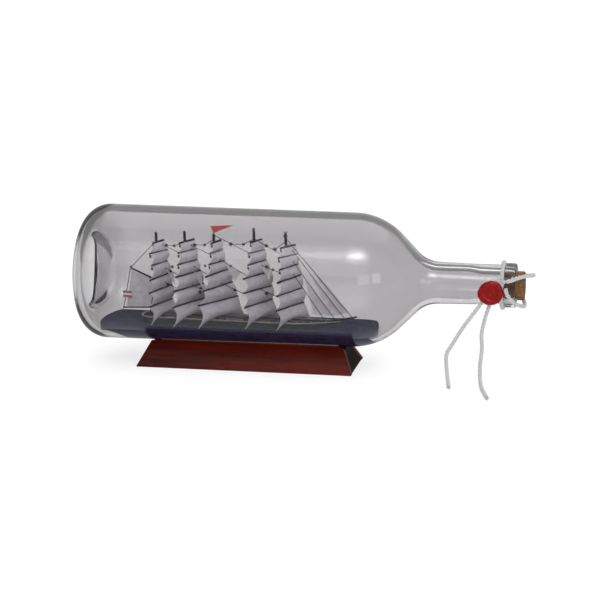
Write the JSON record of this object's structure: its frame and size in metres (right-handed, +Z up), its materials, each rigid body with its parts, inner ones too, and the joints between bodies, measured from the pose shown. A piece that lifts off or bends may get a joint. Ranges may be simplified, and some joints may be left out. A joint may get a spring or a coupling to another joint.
{
  "type": "ship in a bottle",
  "caption": "Model sailing ship with paper sails on a putty sea inside a clear corked wine bottle, tied with cord and a wax seal, lying on a small wooden stand.",
  "frame": {"origin": "on the table under the middle of the overall length of bottle, cork and cork tie", "axes": "+X along the bottle towards its neck, which is also the ship's heading, +Z up, +Y to the ship's port side; the seal and cord ends are on the -Y side"},
  "size_m": [0.339, 0.1306, 0.1166],
  "materials": {
    "glass": "clear, smooth",
    "cork": "natural cork, matt",
    "wax": "pressed sealing wax",
    "cotton": "twisted cotton cord",
    "mahogany": "red-brown stain, satin varnish",
    "sea_putty": "navy painted putty, satin",
    "white_paint": "white paint",
    "deck_stain": "dark stain",
    "spar": "dark stain",
    "sail_paper": "stiff off-white paper",
    "pennant_paper": "red paper",
    "flag_paper": "striped paper"
  },
  "bodies": {
    "stand": {"stand_front_board": "mahogany", "stand_back_board": "mahogany", "stand_left_end_board": "mahogany", "stand_right_end_board": "mahogany"},
    "bottle": {"bottle": "glass", "cork": "cork", "wax_seal": "wax", "neck_loop": "cotton", "cork_tie": "cotton", "cord_tail_short": "cotton", "cord_tail_long": "cotton", "sea": "sea_putty", "hull": "white_paint", "deck": "deck_stain", "deck_house_aft": "deck_stain", "deck_house_mid": "deck_stain", "bowsprit": "spar", "gaff": "spar", "boom": "spar", "spanker": "sail_paper", "ensign": "flag_paper", "pennant": "pennant_paper", "jib_1": "sail_paper", "jib_2": "sail_paper", "jib_3": "sail_paper", "mast_1": "spar", "mast_1_royal": "sail_paper", "mast_1_topgallant": "sail_paper", "mast_1_upper_topsail": "sail_paper", "mast_1_lower_topsail": "sail_paper", "mast_1_upper_course": "sail_paper", "mast_1_course": "sail_paper", "mast_2": "spar", "mast_2_royal": "sail_paper", "mast_2_topgallant": "sail_paper", "mast_2_upper_topsail": "sail_paper", "mast_2_lower_topsail": "sail_paper", "mast_2_upper_course": "sail_paper", "mast_2_course": "sail_paper", "mast_3": "spar", "mast_3_royal": "sail_paper", "mast_3_topgallant": "sail_paper", "mast_3_upper_topsail": "sail_paper", "mast_3_lower_topsail": "sail_paper", "mast_3_upper_course": "sail_paper", "mast_3_course": "sail_paper", "mast_4": "spar", "mast_4_royal": "sail_paper", "mast_4_topgallant": "sail_paper", "mast_4_upper_topsail": "sail_paper", "mast_4_lower_topsail": "sail_paper", "mast_4_upper_course": "sail_paper", "mast_4_course": "sail_paper", "mast_5": "spar", "mast_5_royal": "sail_paper", "mast_5_topgallant": "sail_paper", "mast_5_upper_topsail": "sail_paper", "mast_5_lower_topsail": "sail_paper", "mast_5_upper_course": "sail_paper", "mast_5_course": "sail_paper"}
  },
  "joints": [
    {"name": "bottle_lift", "type": "slide", "parent": "stand", "child": "bottle", "axis": [0, 0, 1], "range_m": [0, 0.06]}
  ]
}
